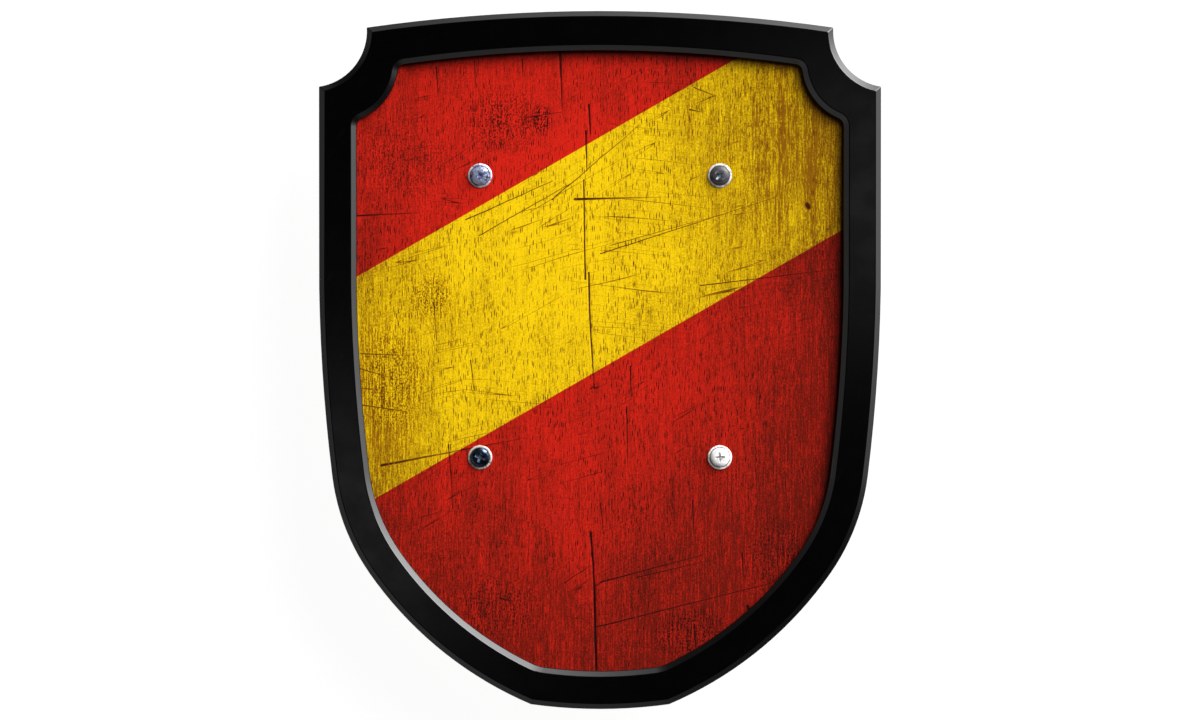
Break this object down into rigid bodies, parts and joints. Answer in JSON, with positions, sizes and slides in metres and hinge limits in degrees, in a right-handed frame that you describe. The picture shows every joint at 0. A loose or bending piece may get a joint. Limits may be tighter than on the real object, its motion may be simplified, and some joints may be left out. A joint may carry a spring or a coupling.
{
  "type": "toy heater shield",
  "caption": "Flat wooden toy heater shield with scooped top corners, a raised black rim round a painted field, front screws and leather arm straps behind.",
  "frame": {"origin": "on the floor under the middle of the outline, where the straps' flat undersides touch it", "axes": "+Z out of the painted front, +Y from the foot to the crown, +X to the right as seen from the front"},
  "size_m": [0.306, 0.38, 0.054],
  "materials": {
    "painted_board": "plywood painted red with a yellow diagonal band, worn through along its grain, satin varnish",
    "black_rim": "smooth black gloss lacquer, slightly rubbed along the edges",
    "zinc_steel": "bright zinc plating, lightly scuffed",
    "strap_leather": "oiled brown saddle leather with burnished edges and a stitched border"
  },
  "bodies": {
    "root": {"board": "painted_board", "rim": "black_rim", "screw_top_left": "zinc_steel", "screw_top_right": "zinc_steel", "screw_bottom_left": "zinc_steel", "screw_bottom_right": "zinc_steel", "washer_top_left": "zinc_steel", "washer_top_right": "zinc_steel", "washer_bottom_left": "zinc_steel", "washer_bottom_right": "zinc_steel", "cap_nut_top_left": "zinc_steel", "cap_nut_top_right": "zinc_steel", "cap_nut_bottom_left": "zinc_steel", "cap_nut_bottom_right": "zinc_steel", "strap_left": "strap_leather", "strap_right": "strap_leather"}
  },
  "joints": []
}
